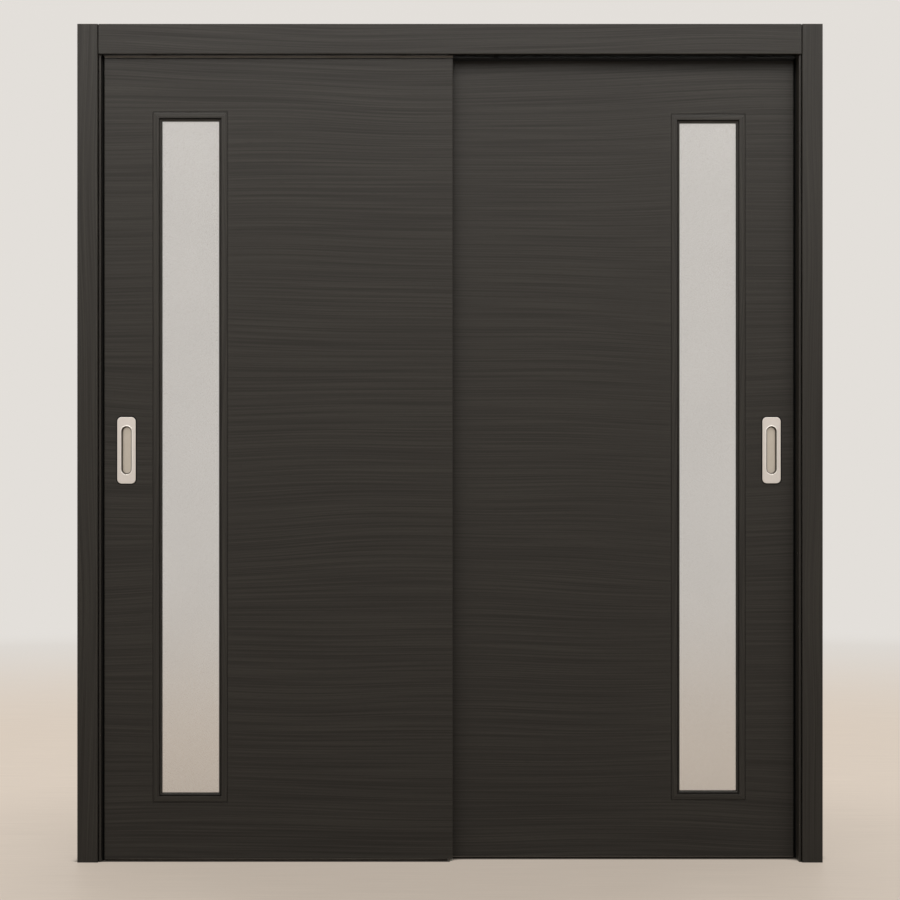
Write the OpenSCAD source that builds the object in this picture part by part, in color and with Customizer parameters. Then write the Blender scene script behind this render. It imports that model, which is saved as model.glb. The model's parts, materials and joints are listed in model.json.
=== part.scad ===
// Two-leaf bypass door set: jambs and a head with casings on both faces, and two
// glazed leaves that hang on rollers and pass one in front of the other.
// The origin is on the floor, midway across the width and the depth of the frame.
// +X runs to the right seen from the front, +Y away from the viewer, +Z up.
// A half turn about +Z maps the set onto itself, so rear pieces are front ones turned.

/* [Frame] */
// Overall width over the jamb casings
frame_w = 1809; // [1500:1:2400]
// Overall height from the floor to the top of the casings
frame_h = 2035; // [1800:1:2400]
// Face width of a jamb casing
casing_w = 49.5; // [40:0.5:70]
// Face height of a head casing
head_casing_h = 73; // [66:1:120]
// How far a casing stands proud of the jamb's edge
casing_t = 10; // [6:0.5:16]
// Radius on the face edges of a casing
casing_edge_r = 1.5; // [0.5:0.1:3]
// Shadow gap between a casing and the jamb's lip
shadow_gap = 2; // [1.5:0.5:5]
// Width of the jamb's lip, seen beside the casing
lip_w = 5; // [4:0.5:10]
// Thickness of a jamb board
jamb_t = 30; // [24:1:40]
// Thickness of the tongue that holds a casing
tongue_t = 4; // [3:0.5:6]
// Length of the tongue that holds a casing
tongue_l = 8; // [5:0.5:12]
// Solid thickness of the head board over the tracks
head_web = 16; // [12:1:24]
// Depth to which a track is let into the head board
track_recess = 14; // [8:1:20]

/* [Leaves] */
// Thickness of a leaf
leaf_t = 33; // [30:1:40]
// Clear gap between the two leaves
leaf_gap = 7; // [5.5:0.5:14]
// Distance of the front leaf's face behind the jamb's edge
leaf_setback = 11.5; // [8:0.5:30]
// Overlap of the closed leaves at the middle
leaf_overlap = 14; // [12:1:60]
// Radius on the upright edges of a leaf
leaf_edge_r = 1.5; // [0.5:0.1:4]
// Gap between the floor and a leaf
floor_clear = 6; // [4:0.5:12]
// Gap between a leaf's top and the head casing's lower edge, measured upright
leaf_drop = 1; // [0.5:0.5:5]
// Gap between a closed leaf and its jamb, which the seal fills
jamb_clear = 6.5; // [3:0.5:9]

/* [Lites] */
// Width over a bead
lite_w = 180; // [120:2:260]
// Distance from a leaf's jamb edge to the bead
lite_inset = 119; // [90:1:200]
// Distance from a leaf's top and bottom to the bead
lite_margin = 138; // [100:2:300]
// Width of a bead's flat face
bead_face = 14; // [10:0.5:20]
// Depth of the step behind a bead's face
bead_step_d = 4; // [2:0.5:6]
// Width of the shadow groove at the foot of the step
bead_quirk_w = 2.8; // [1:0.1:3]
// Depth of the shadow groove below the step
bead_quirk_d = 5; // [2:0.5:5]
// Width from the step to the glass, over the shadow groove and the slope
bead_slope_w = 6; // [4:0.5:10]
// Fall of the slope from the step to the glass
bead_slope_d = 2; // [1:0.5:4]
// Joint between a bead's face and the leaf
bead_gap = 1.2; // [0.8:0.1:2]
// Depth of the joint between a bead's face and the leaf
bead_gap_d = 3; // [2:0.5:5]
// Thickness of the glass
glass_t = 4; // [3:0.5:6]
// How far the glass reaches behind a bead
glass_bite = 10.5; // [6:0.5:14]

/* [Pulls] */
// Width of a pull's plate
pull_w = 45; // [38:1:60]
// Height of a pull's plate
pull_h = 162; // [140:1:220]
// Corner radius of a pull's plate
pull_corner_r = 11; // [6:0.5:16]
// Thickness of a pull's plate
pull_t = 1.6; // [1.2:0.1:2]
// Distance from a leaf's jamb edge to the middle of its pull
pull_inset = 54; // [40:1:60]
// Height of the middle of a pull over the floor
pull_z = 1000; // [850:5:1150]
// Width of the finger recess
cup_w = 25; // [20:1:30]
// Height of the finger recess
cup_h = 117; // [90:1:130]
// Depth of the finger recess below the leaf's face
cup_depth = 11; // [8:0.5:13]
// Wall of the finger recess
cup_wall = 1.2; // [0.8:0.1:2]
// Width of the raised rim round the finger recess
rim_w = 2.5; // [1.5:0.5:4]
// Height of the raised rim over the plate
rim_h = 0.6; // [0.3:0.1:0.7]

/* [Running gear] */
// Radius of a wheel
wheel_r = 9; // [8:0.5:12]
// Width of a wheel's tread
wheel_w = 5; // [4:0.5:7]
// Radius of a wheel's axle
axle_r = 2; // [1.5:0.1:2.5]
// Distance between the two axles of a carriage
axle_pitch = 40; // [28:1:60]
// Length of a carriage
carriage_len = 60; // [56:1:90]
// Width of a carriage
carriage_w = 9; // [8:0.5:12]
// Height of a carriage
carriage_h = 14; // [12:0.5:18]
// Radius of a hanger bolt
bolt_r = 3; // [2.5:0.1:3.5]
// Distance from a leaf's edge to the middle of a carriage
hanger_inset = 120; // [60:5:250]
// Wall of a track
track_wall = 2; // [1.5:0.1:3]
// Height of a track's underside over the head casing's lower edge
track_lift = 2.5; // [2.5:0.1:6]
// Length of an end stop's block
stop_len = 20; // [12:1:30]

/* [Top rail and floor guide] */
// Height of the top rail's strip
rail_cap_h = 5.3; // [4:0.1:8]
// Height of the groove below the top rail's strip
rail_groove_h = 2.4; // [1.5:0.1:4]
// Depth of the groove below the top rail's strip
rail_groove_d = 3; // [2:0.5:5]
// Wall of the top rail's channel
rail_wall = 2; // [1.5:0.1:3]
// Length of a hanger block
block_len = 44; // [30:1:70]
// Width of a hanger block
block_w = 15.6; // [12:0.1:17]
// Height of a hanger block
block_h = 12; // [8:0.5:16]
// Radius of a floor guide pin
guide_pin_r = 4; // [3:0.1:5]
// How far a floor guide pin reaches into its leaf
guide_reach = 12; // [8:0.5:13]
// Outer height of the guide channel
channel_h = 16; // [15:0.5:24]
// Wall of the guide channel
channel_wall = 1.4; // [1:0.1:2]
// Thickness of the floor guide's plate
guide_t = 2.5; // [1.5:0.1:3]

/* [Fixings] */
// Radius of a wall fixing hole in a jamb
fixing_r = 2.6; // [2:0.1:4]
// Height of the middle of the wall fixings
fixing_z = 1000; // [900:5:1100]
// Spread of the two inner wall fixings
fixing_near = 500; // [300:10:800]
// Spread of the two outer wall fixings
fixing_far = 1500; // [1000:10:1700]
// Radius of a corner screw
corner_screw_r = 2.1; // [1.8:0.1:3]
// Length of a corner screw
corner_screw_l = 70; // [55:1:100]
// Radius of a track screw
track_screw_r = 1.9; // [1.5:0.1:2.5]
// Length of a track screw under its head
track_screw_l = 14; // [9:0.5:15]

/* [Hidden] */
$fn = 48;
// Overrun of cuts past the faces that they open
overrun = 1;
// Radial play of fixed pins and screws in their holes
fit_clear = 0.05;
// Running gap between pieces that move past each other
run_clear = 0.3;
// Play of a piece let into a groove or mortise
seat_clear = 0.1;
// Facets of a rounded plate corner
plate_fn = 32;

// Frame, from the outer edge inwards
half_w = frame_w / 2;
casing_in = half_w - casing_w;
lip_out = casing_in - shadow_gap;
opening_half = lip_out - lip_w;
jamb_out = opening_half + jamb_t;
jamb_d = 2 * (leaf_setback + leaf_t) + leaf_gap;
leaf_y = (leaf_gap + leaf_t) / 2;

// Wheels and carriage, across the track
hub_step = 0.7;
hub_r = 4.5;
rim_in_r = 7.2;
wheel_dish = 1.2;
tread_edge = 0.6;
axle_head_t = 1.2;
axle_head_r = 3.2;
axle_side_clear = 2;
carriage_end_r = 5;
wheel_in = carriage_w / 2 + run_clear;
wheel_out = wheel_in + hub_step + wheel_w;
axle_half = wheel_out + run_clear + axle_head_t;
slot_clear = 1.5;
slot_half = bolt_r + slot_clear;
track_half = axle_half + axle_side_clear + track_wall;

// Track and head, from the head casing's lower edge upwards
bolt_head_h = 4;
bolt_head_af = 10;
track_screw_head_h = 2;
track_screw_head_r = 3.6;
track_head_clear = 1.7;
track_end_gap = 0.5;
track_screw_shares = [-0.46, -0.23, 0, 0.23, 0.46];
head_z = frame_h - head_casing_h;
track_z = head_z + track_lift;
track_floor = track_z + track_wall;
axle_z = track_floor + run_clear + wheel_r;
carriage_top = axle_z + carriage_h / 2;
gear_top = axle_z + max(wheel_r, carriage_h / 2 + bolt_head_h);
track_ceiling = gear_top + track_head_clear + track_screw_head_h;
track_top = track_ceiling + track_wall;
head_under = track_top - track_recess;
head_top = track_top + head_web;
track_len = 2 * (opening_half - track_end_gap);
tongue_z = track_top + (head_web - tongue_t) / 2;
tongue_seat = tongue_l + overrun;
corner_screw_z = track_top + head_web / 2;
corner_screw_shares = [-0.28, 0, 0.28];
corner_head_r = 4.2;
corner_head_l = 3.2;
screw_tip_l = 4;

// Leaf, seen from the front with its jamb edge on the left
leaf_top = head_z - leaf_drop;
leaf_bottom = floor_clear;
slab_top = leaf_top - rail_cap_h - rail_groove_h;
leaf_mid_z = (leaf_top + leaf_bottom) / 2;
leaf_outer = opening_half - jamb_clear;
leaf_inner = leaf_overlap / 2;
leaf_w = leaf_outer + leaf_inner;
leaf_cx = (leaf_inner - leaf_outer) / 2;
hanger_xs = [hanger_inset - leaf_outer, leaf_inner - hanger_inset];

// Top rail, downwards from the leaf's top
block_play = 0.2;
block_tail = 8;
bolt_tail = 3;
cavity_half = block_w / 2 + block_play;
rail_half = cavity_half + rail_wall;
block_top = leaf_top - rail_cap_h;
rail_under = block_top - block_h - block_tail - rail_wall;
bolt_end = block_top - block_h - bolt_tail;
nut_flange_r = 6.5;
nut_flange_h = 1;
nut_play = 0.9;
nut_h = leaf_drop + track_lift - nut_play;

// Lite
lite_cx = lite_inset + lite_w / 2 - leaf_outer;
lite_h = leaf_top - leaf_bottom - 2 * lite_margin;
step_w = lite_w - 2 * bead_face;
step_h = lite_h - 2 * bead_face;
sight_w = step_w - 2 * bead_slope_w;
sight_h = step_h - 2 * bead_slope_w;
glass_w = sight_w + 2 * glass_bite;
glass_h = sight_h + 2 * glass_bite;
glass_play = 0.5;

// Pull
pull_cx = pull_inset - leaf_outer;
pull_chamfer = 0.7;
mortise_play = 0.3;

// Floor guide and guide channel
guide_play = 0.6;
guide_margin = 0.5;
guide_end = 7;
guide_pin_chamfer = 1;
guide_hole_r = 2;
guide_hole_y = 9;
guide_w = leaf_overlap - 2 * guide_margin;
guide_len = 2 * (leaf_y + guide_pin_r + guide_end);
channel_in = guide_pin_r + guide_play;
channel_half = channel_in + channel_wall;

// Jamb seal
seal_w = 15;
seal_anchor_w = 6;
seal_anchor_d = 5;
seal_steps = 12;
seal_proj = jamb_clear - run_clear;

// End stop
stop_nose_r = 4;
stop_nose_l = 6;
stop_face = leaf_outer - hanger_inset + carriage_len / 2 + run_clear;
stop_h = 2 * wheel_r;

// Wall fixing
fixing_head_r = 5.5;
fixing_head_d = 5;

// Colours
wood = "#3a3632";
nickel = "#d0c7c0";
bare_metal = "#b9bcc0";
zinc = "#9da2a6";
nylon = "#e8e5de";
black = "#151515";
dark_metal = "#2b2927";
frosted = [0.77, 0.75, 0.72, 0.75];

// Places a leaf's piece in the front plane
module front() {
    translate([0, -leaf_y, 0]) children();
}

// Turns a front piece to the rear
module turned() {
    rotate([0, 0, 180]) children();
}

// Places a leaf's piece in the rear plane
module rear() {
    turned() front() children();
}

// Sets a piece drawn flat, facing up, on a leaf's outer face at x and z
module on_outer(x, z) {
    translate([x, -leaf_t / 2, z]) rotate([90, 0, 0]) children();
}

// Sets a piece drawn flat, facing up, on a leaf's inner face at x and z
module on_inner(x, z) {
    translate([x, leaf_t / 2, z]) rotate([-90, 0, 0]) children();
}

// Extrudes a section, drawn in Y and Z, along X about a middle
module along_x(length, middle = 0) {
    translate([middle - length / 2, 0, 0]) rotate([90, 0, 90]) linear_extrude(length) children();
}

// A rectangle centred across, from one height to another
module band(half, low, high) {
    translate([-half, low]) square([2 * half, high - low]);
}

// A flat block centred on the axis, from one level to another
module slab(w, h, low, high) {
    translate([-w / 2, -h / 2, low]) cube([w, h, high - low]);
}

// A rectangle with round corners
module rounded_rect(w, h, r) {
    square([w - 2 * r, h], center = true);
    square([w, h - 2 * r], center = true);
    for (x = [-1, 1], y = [-1, 1]) translate([x * (w / 2 - r), y * (h / 2 - r)]) circle(r);
}

// A rectangle with half-round ends
module stadium(w, h) {
    square([w, h - w], center = true);
    for (y = [-1, 1]) translate([0, y * (h - w) / 2]) circle(w / 2);
}

// A countersunk screw pointing down from its head, grown all round for its hole
module sunk_screw(r, length, head_r, head_l, grow = 0) {
    top = grow > 0 ? overrun : 0;
    rotate_extrude() polygon([
        [0, top], [head_r + grow, top], [head_r + grow, 0], [r + grow, -head_l],
        [r + grow, screw_tip_l - length], [0, -length - grow]
    ]);
}

// A pan head screw pointing up from under its head, grown all round for its hole
module pan_screw(r, length, head_r, head_h, grow = 0) {
    rotate_extrude() polygon([
        [0, -head_h], [head_r / 2, -head_h], [head_r, -head_h / 2], [head_r, 0], [r + grow, 0],
        [r + grow, length - screw_tip_l], [0, length + grow]
    ]);
}

// A casing's face board: width along X, standing proud along Y, edges rounded
module casing_board(w) {
    square([w, casing_t - casing_edge_r]);
    translate([casing_edge_r, 0]) square([w - 2 * casing_edge_r, casing_t]);
    for (x = [casing_edge_r, w - casing_edge_r]) {
        translate([x, casing_t - casing_edge_r]) circle(casing_edge_r);
    }
}

// A jamb casing's section, from its inner edge outwards, with its tongue behind
module jamb_casing_section() {
    casing_board(casing_w);
    translate([0, -tongue_l]) square([tongue_t, tongue_l + casing_t / 2]);
}

module left_casing() {
    color(wood) translate([-casing_in, -jamb_d / 2, 0]) rotate([0, 0, 180])
        linear_extrude(frame_h) jamb_casing_section();
}

module right_casing() {
    color(wood) translate([casing_in, -jamb_d / 2, 0]) mirror([0, 1, 0])
        linear_extrude(frame_h) jamb_casing_section();
}

module head_casing() {
    color(wood) {
        along_x(2 * lip_out) translate([-jamb_d / 2, head_z]) rotate(90) casing_board(head_casing_h);
        along_x(2 * opening_half) translate([-jamb_d / 2 - casing_t / 2, tongue_z])
            square([casing_t / 2 + tongue_l, tongue_t]);
    }
}

// The left jamb's plan, with its casing grooves and its seal groove
module jamb_plan() {
    difference() {
        translate([-jamb_out, -jamb_d / 2]) square([jamb_t, jamb_d]);
        for (side = [-1, 1]) translate([-casing_in - tongue_t - seat_clear, side * jamb_d / 2])
            translate([0, -tongue_seat]) square([shadow_gap + tongue_t + seat_clear, 2 * tongue_seat]);
        translate([-opening_half - seal_anchor_d - seat_clear, -leaf_y - seal_anchor_w / 2 - seat_clear])
            square([seal_anchor_d + seat_clear + overrun, seal_anchor_w + 2 * seat_clear]);
    }
}

// The corner screws of the left jamb, or their holes
module left_corner_screws(grow = 0) {
    for (share = corner_screw_shares) translate([-jamb_out, share * jamb_d, corner_screw_z])
        rotate([0, -90, 0])
            sunk_screw(corner_screw_r, corner_screw_l, corner_head_r, corner_head_l, grow);
}

// A wall fixing hole through the left jamb, with its head recess on the opening's side
module fixing_hole(z) {
    translate([-jamb_out - overrun, leaf_y, z]) rotate([0, 90, 0])
        cylinder(h = jamb_t + 2 * overrun, r = fixing_r);
    translate([-opening_half - fixing_head_d, leaf_y, z]) rotate([0, 90, 0])
        cylinder(h = fixing_head_d + overrun, r = fixing_head_r);
}

module left_jamb() {
    color(wood) difference() {
        linear_extrude(frame_h) jamb_plan();
        for (spread = [fixing_near, fixing_far], side = [-1, 1])
            fixing_hole(fixing_z + side * spread / 2);
        left_corner_screws(fit_clear);
    }
}

// The screws that hold the front track, or their holes in the head board
module front_track_screws(grow = 0) {
    for (share = track_screw_shares) translate([share * track_len, -leaf_y, track_ceiling])
        pan_screw(track_screw_r, track_screw_l, track_screw_head_r, track_screw_head_h, grow);
}

// The head board's section: two track recesses below, a casing groove at each edge
module head_section() {
    difference() {
        band(jamb_d / 2, head_under, head_top);
        for (side = [-1, 1]) {
            translate([side * leaf_y, 0]) band(track_half + seat_clear, head_under - overrun, track_top);
            translate([side * jamb_d / 2, 0])
                band(tongue_seat, tongue_z - seat_clear, tongue_z + tongue_t + seat_clear);
        }
    }
}

module head_board() {
    color(wood) difference() {
        along_x(2 * opening_half) head_section();
        front_track_screws(fit_clear);
        turned() front_track_screws(fit_clear);
        left_corner_screws(fit_clear);
        turned() left_corner_screws(fit_clear);
    }
}

module track_screws() {
    color(zinc) {
        front_track_screws();
        turned() front_track_screws();
    }
}

module corner_screws() {
    color(zinc) {
        left_corner_screws();
        turned() left_corner_screws();
    }
}

// A track's section: a box open along its underside for the hanger bolts
module track_section() {
    difference() {
        band(track_half, track_z, track_top);
        band(track_half - track_wall, track_floor, track_ceiling);
        band(slot_half, track_z - overrun, track_floor + overrun);
    }
}

module track() {
    color(dark_metal) difference() {
        along_x(track_len) track_section();
        for (share = track_screw_shares) translate([share * track_len, 0, track_ceiling - overrun])
            cylinder(h = track_wall + 2 * overrun, r = track_screw_r + fit_clear);
    }
}

// The stops at both ends of a track, each with a buffer nose for the carriage
module track_stops() {
    stop_half = track_half - track_wall - block_play;
    color(black) for (side = [-1, 1]) translate([side * stop_face, 0, 0]) {
        translate([side * (stop_nose_l + stop_len / 2), 0, track_floor + stop_h / 2])
            cube([stop_len, 2 * stop_half, stop_h], center = true);
        translate([0, 0, axle_z]) rotate([0, side * 90, 0])
            cylinder(h = stop_nose_l + stop_len / 2, r = stop_nose_r);
    }
}

// The left jamb's seal: an anchor in the jamb and a bulb towards the closed leaf
module left_seal() {
    bulb = [for (i = [0:seal_steps])
        [seal_proj * sin(180 * i / seal_steps), seal_w / 2 * cos(180 * i / seal_steps)]];
    anchor = [for (corner = [[0, -1], [-1, -1], [-1, 1], [0, 1]])
        [corner.x * seal_anchor_d, corner.y * seal_anchor_w / 2]];
    color(black) translate([-opening_half, -leaf_y, 0]) linear_extrude(head_z) polygon(concat(bulb, anchor));
}

// The floor guide: a plate hidden under the overlap, with a pin for each leaf
module floor_guide() {
    color(nylon) difference() {
        union() {
            linear_extrude(guide_t) rounded_rect(guide_w, guide_len, guide_w / 2 - guide_margin);
            for (side = [-1, 1]) translate([0, side * leaf_y, 0]) rotate_extrude() polygon([
                [0, 0], [guide_pin_r, 0], [guide_pin_r, leaf_bottom + guide_reach - guide_pin_chamfer],
                [guide_pin_r - guide_pin_chamfer, leaf_bottom + guide_reach],
                [0, leaf_bottom + guide_reach]
            ]);
        }
        for (side = [-1, 1]) translate([0, side * guide_hole_y, -overrun])
            cylinder(h = guide_t + 2 * overrun, r = guide_hole_r);
    }
}

// The mortise for a pull's finger recess, opening upwards
module pull_mortise() {
    depth = cup_depth + cup_wall + mortise_play;
    wall = cup_wall + mortise_play;
    translate([0, 0, -depth]) linear_extrude(depth + overrun) stadium(cup_w + 2 * wall, cup_h + 2 * wall);
}

module leaf() {
    rail_groove = slab_top - rail_under + seat_clear;
    groove_len = leaf_w + 2 * overrun;
    color(wood) difference() {
        translate([leaf_cx, 0, leaf_bottom])
            linear_extrude(slab_top - leaf_bottom) rounded_rect(leaf_w, leaf_t, leaf_edge_r);
        translate([lite_cx, 0, leaf_mid_z]) cube([
            lite_w + 2 * bead_gap, leaf_t + 2 * overrun, lite_h + 2 * bead_gap
        ], center = true);
        along_x(groove_len, leaf_cx) band(rail_half + seat_clear, slab_top - rail_groove, slab_top + overrun);
        along_x(groove_len, leaf_cx)
            band(channel_half + seat_clear, leaf_bottom - overrun, leaf_bottom + channel_h + seat_clear);
        on_outer(pull_cx, pull_z) pull_mortise();
        on_inner(pull_cx, pull_z) pull_mortise();
    }
}

module glass() {
    color(frosted) translate([lite_cx, 0, leaf_mid_z]) cube([glass_w, glass_t, glass_h], center = true);
}

// The shadow groove at the foot of a bead's step
module bead_quirk() {
    difference() {
        slab(step_w, step_h, 0, bead_step_d + bead_quirk_d);
        slab(step_w - 2 * bead_quirk_w, step_h - 2 * bead_quirk_w, -overrun, leaf_t / 2);
    }
}

// A bead drawn face up: a flat face, a step, a shadow groove and a slope down to the glass
module bead() {
    slope_end = bead_step_d + bead_slope_d;
    color(wood) mirror([0, 0, 1]) difference() {
        union() {
            slab(lite_w, lite_h, 0, leaf_t / 2);
            slab(lite_w + 2 * bead_gap, lite_h + 2 * bead_gap, bead_gap_d, leaf_t / 2);
        }
        slab(sight_w, sight_h, -overrun, leaf_t / 2 + overrun);
        slab(step_w, step_h, -overrun, bead_step_d);
        hull() {
            slab(step_w, step_h, 0, bead_step_d);
            slab(sight_w, sight_h, slope_end, slope_end + overrun);
        }
        bead_quirk();
        slab(glass_w + 2 * glass_play, glass_h + 2 * glass_play, (leaf_t - glass_t) / 2, leaf_t / 2 + overrun);
    }
}

// A flush pull drawn face up: a plate with a raised rim round its finger recess
module pull() {
    color(nickel) difference() {
        union() {
            hull() {
                linear_extrude(pull_t - pull_chamfer)
                    rounded_rect(pull_w, pull_h, pull_corner_r, $fn = plate_fn);
                linear_extrude(pull_t) rounded_rect(
                    pull_w - 2 * pull_chamfer, pull_h - 2 * pull_chamfer,
                    pull_corner_r - pull_chamfer, $fn = plate_fn
                );
            }
            linear_extrude(pull_t + rim_h) stadium(cup_w + 2 * rim_w, cup_h + 2 * rim_w);
            translate([0, 0, -cup_depth - cup_wall]) linear_extrude(cup_depth + cup_wall + pull_t / 2)
                stadium(cup_w + 2 * cup_wall, cup_h + 2 * cup_wall);
        }
        translate([0, 0, -cup_depth]) linear_extrude(cup_depth + pull_t + rim_h + overrun)
            stadium(cup_w, cup_h);
    }
}

// The top rail: a strip over the leaf, a groove below it and a slotted channel
module top_rail() {
    color(dark_metal) along_x(leaf_w, leaf_cx) difference() {
        union() {
            band(leaf_t / 2, block_top, leaf_top);
            band(leaf_t / 2 - rail_groove_d, slab_top, leaf_top);
            band(rail_half, rail_under, leaf_top);
        }
        band(cavity_half, rail_under + rail_wall, block_top);
        band(slot_half, block_top - overrun, leaf_top + overrun);
    }
}

module guide_channel() {
    color(bare_metal) along_x(leaf_w, leaf_cx) difference() {
        band(channel_half, leaf_bottom, leaf_bottom + channel_h);
        band(channel_in, leaf_bottom - overrun, leaf_bottom + channel_h - channel_wall);
    }
}

// A hanger carriage, 0 on the jamb's side and 1 towards the middle
module carriage(i) {
    color(zinc) translate([hanger_xs[i], 0, axle_z]) difference() {
        rotate([90, 0, 0]) linear_extrude(carriage_w, center = true)
            rounded_rect(carriage_len, carriage_h, carriage_end_r);
        for (side = [-1, 1]) translate([side * axle_pitch / 2, 0, 0]) rotate([90, 0, 0])
            cylinder(h = carriage_w + 2 * overrun, r = axle_r + fit_clear, center = true);
        cylinder(h = carriage_h + 2 * overrun, r = bolt_r + fit_clear, center = true);
    }
}

// A hexagonal prism by its width across flats
module hexagon(af, h) {
    cylinder(h = h, d = af / cos(30), $fn = 6);
}

// The hanger bolts, each with a flanged nut that locks it on the top rail
module hanger_bolts() {
    color(zinc) for (x = hanger_xs) translate([x, 0, 0]) {
        translate([0, 0, carriage_top]) hexagon(bolt_head_af, bolt_head_h);
        translate([0, 0, bolt_end]) cylinder(h = carriage_top - bolt_end + bolt_head_h / 2, r = bolt_r);
        translate([0, 0, leaf_top]) difference() {
            union() {
                cylinder(h = nut_flange_h, r = nut_flange_r);
                hexagon(bolt_head_af, nut_h);
            }
            translate([0, 0, -overrun]) cylinder(h = nut_h + 2 * overrun, r = bolt_r + fit_clear);
        }
    }
}

module hanger_blocks() {
    color(zinc) for (x = hanger_xs) translate([x, 0, block_top - block_h / 2]) difference() {
        cube([block_len, block_w, block_h], center = true);
        cylinder(h = block_h + 2 * overrun, r = bolt_r + fit_clear, center = true);
    }
}

// Place of an axle along the leaf, counted from the jamb's side
function axle_x(i) = hanger_xs[floor(i / 2)] + (i % 2 == 0 ? -1 : 1) * axle_pitch / 2;

module axles() {
    shank = axle_half - axle_head_t;
    color(zinc) for (i = [0:3]) translate([axle_x(i), 0, axle_z]) rotate([90, 0, 0])
        rotate_extrude() polygon([
            [0, -axle_half], [axle_head_r, -axle_half], [axle_head_r, -shank], [axle_r, -shank],
            [axle_r, shank], [axle_head_r, shank], [axle_head_r, axle_half], [0, axle_half]
        ]);
}

// A wheel standing on its hub, dished on its outer side
module wheel() {
    bore = axle_r + fit_clear;
    top = hub_step + wheel_w;
    rotate_extrude() polygon([
        [bore, 0], [hub_r, 0], [hub_r, hub_step], [wheel_r - tread_edge, hub_step],
        [wheel_r, hub_step + tread_edge], [wheel_r, top - tread_edge], [wheel_r - tread_edge, top],
        [rim_in_r, top], [rim_in_r, top - wheel_dish], [hub_r, top - wheel_dish], [hub_r, top], [bore, top]
    ]);
}

// The two wheels on one axle
module wheel_pair(i) {
    color(nylon) for (side = [-1, 1]) translate([axle_x(i), 0, axle_z]) rotate([side * 90, 0, 0])
        translate([0, 0, wheel_in]) wheel();
}

left_jamb();
turned() left_jamb();  // right_jamb
head_board();
left_casing();  // front_left_casing
right_casing();  // front_right_casing
head_casing();  // front_head_casing
turned() right_casing();  // rear_left_casing
turned() left_casing();  // rear_right_casing
turned() head_casing();  // rear_head_casing
front() track();  // front_track
rear() track();  // rear_track
front() track_stops();  // front_track_stops
rear() track_stops();  // rear_track_stops
track_screws();
corner_screws();
left_seal();
turned() left_seal();  // right_seal
floor_guide();
front() leaf();  // front_leaf
front() glass();  // front_glass
front() on_outer(lite_cx, leaf_mid_z) bead();  // front_outer_bead
front() on_inner(lite_cx, leaf_mid_z) bead();  // front_inner_bead
front() on_outer(pull_cx, pull_z) pull();  // front_outer_pull
front() on_inner(pull_cx, pull_z) pull();  // front_inner_pull
front() top_rail();  // front_top_rail
front() guide_channel();  // front_guide_channel
front() carriage(0);  // front_jamb_carriage
front() carriage(1);  // front_middle_carriage
front() hanger_bolts();  // front_hanger_bolts
front() hanger_blocks();  // front_hanger_blocks
front() axles();  // front_axles
front() wheel_pair(0);  // front_wheels_1
front() wheel_pair(1);  // front_wheels_2
front() wheel_pair(2);  // front_wheels_3
front() wheel_pair(3);  // front_wheels_4
rear() leaf();  // rear_leaf
rear() glass();  // rear_glass
rear() on_outer(lite_cx, leaf_mid_z) bead();  // rear_outer_bead
rear() on_inner(lite_cx, leaf_mid_z) bead();  // rear_inner_bead
rear() on_outer(pull_cx, pull_z) pull();  // rear_outer_pull
rear() on_inner(pull_cx, pull_z) pull();  // rear_inner_pull
rear() top_rail();  // rear_top_rail
rear() guide_channel();  // rear_guide_channel
rear() carriage(0);  // rear_jamb_carriage
rear() carriage(1);  // rear_middle_carriage
rear() hanger_bolts();  // rear_hanger_bolts
rear() hanger_blocks();  // rear_hanger_blocks
rear() axles();  // rear_axles
rear() wheel_pair(0);  // rear_wheels_1
rear() wheel_pair(1);  // rear_wheels_2
rear() wheel_pair(2);  // rear_wheels_3
rear() wheel_pair(3);  // rear_wheels_4
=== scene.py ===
"""Looks of a two-leaf bypass door set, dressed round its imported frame.

Lengths are in metres in the set's own frame: +X runs to the right seen from the
front, +Y away from the viewer and +Z up, with the origin on the floor at the middle.
"""

import json
import logging
import math
from dataclasses import dataclass
from enum import Enum
from typing import ClassVar, Iterable, Optional, Sequence, Union

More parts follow.
